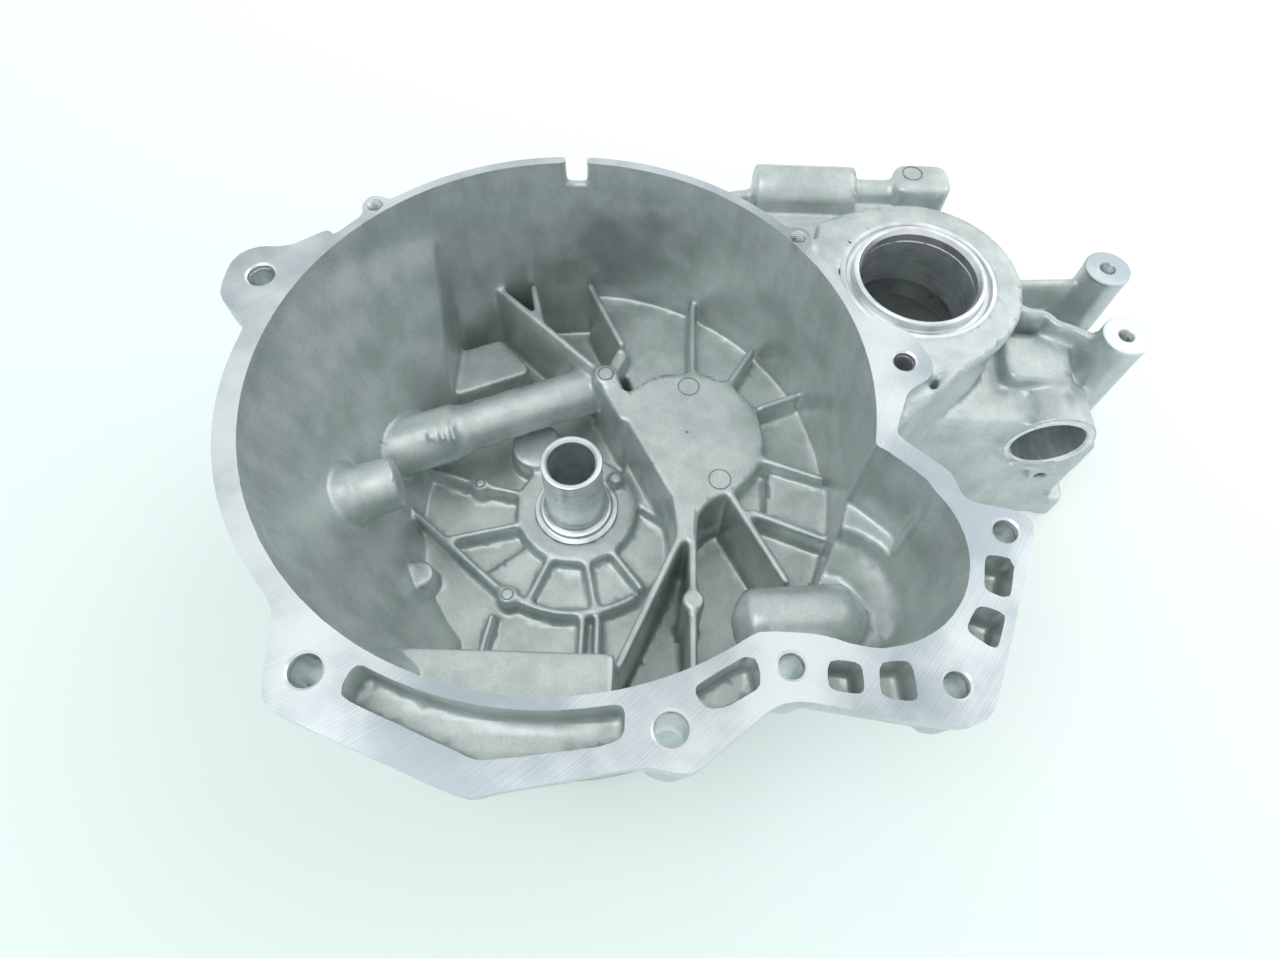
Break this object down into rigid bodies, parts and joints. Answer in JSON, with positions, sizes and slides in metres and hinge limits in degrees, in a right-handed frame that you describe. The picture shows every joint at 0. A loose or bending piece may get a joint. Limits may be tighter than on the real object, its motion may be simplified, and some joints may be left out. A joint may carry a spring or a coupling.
{
  "type": "gearbox housing",
  "caption": "Die-cast aluminium clutch bell half of a gearbox housing, with ribbed floor, guide tube, starter pocket and differential boss.",
  "frame": {"origin": "on the crank and input shaft axis, at the joint face to the gear case", "axes": "+Z along the input shaft towards the engine, +X towards the differential side, +Y away from the starter side"},
  "size_m": [0.4989, 0.3658, 0.165],
  "materials": {
    "cast_aluminium": "bare pressure die casting with machined faces"
  },
  "bodies": {
    "root": {"housing": "cast_aluminium"}
  },
  "joints": []
}
